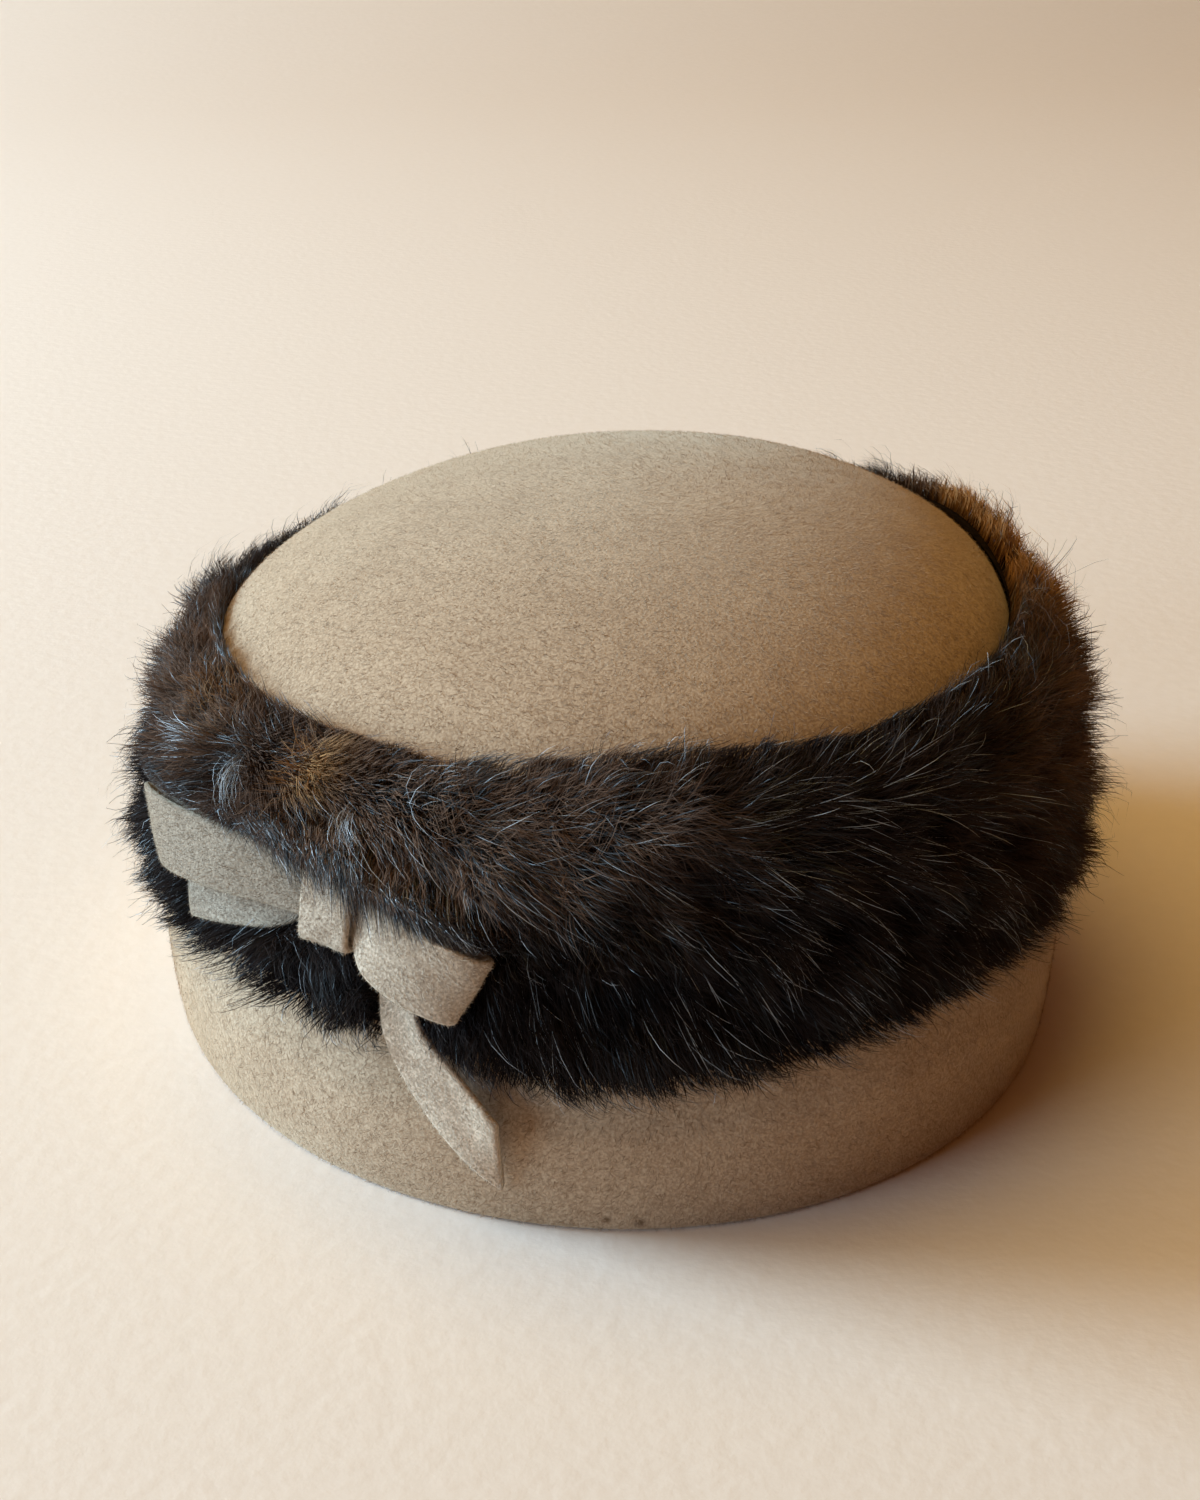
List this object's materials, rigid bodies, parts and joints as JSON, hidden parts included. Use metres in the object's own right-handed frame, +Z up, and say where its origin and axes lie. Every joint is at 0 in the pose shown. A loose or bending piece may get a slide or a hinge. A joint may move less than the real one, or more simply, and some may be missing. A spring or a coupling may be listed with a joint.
{
  "type": "pillbox hat",
  "caption": "Domed felt pillbox hat, hollow for the head, with a deep dark fur band round its side wall and a flat felt bow with one long pointed tail.",
  "frame": {"origin": "middle of the rim, on the surface that the hat stands on", "axes": "+Z up through the crown, +Y along the oval's long axis away from the side that carries the bow, +X to the right seen from the bow's side"},
  "size_m": [0.1893, 0.2131, 0.0989],
  "materials": {
    "felt": "beige velour wool felt with a short brushed nap",
    "fur": "dark brown glossy long-haired fur",
    "bow_felt": "beige velour wool felt strip with cut edges"
  },
  "bodies": {
    "root": {"felt_body": "felt", "fur_band": "fur", "bow_loop_left": "bow_felt", "bow_loop_right": "bow_felt", "bow_tail_short": "bow_felt", "bow_tail_long": "bow_felt", "bow_knot": "bow_felt"}
  },
  "joints": []
}
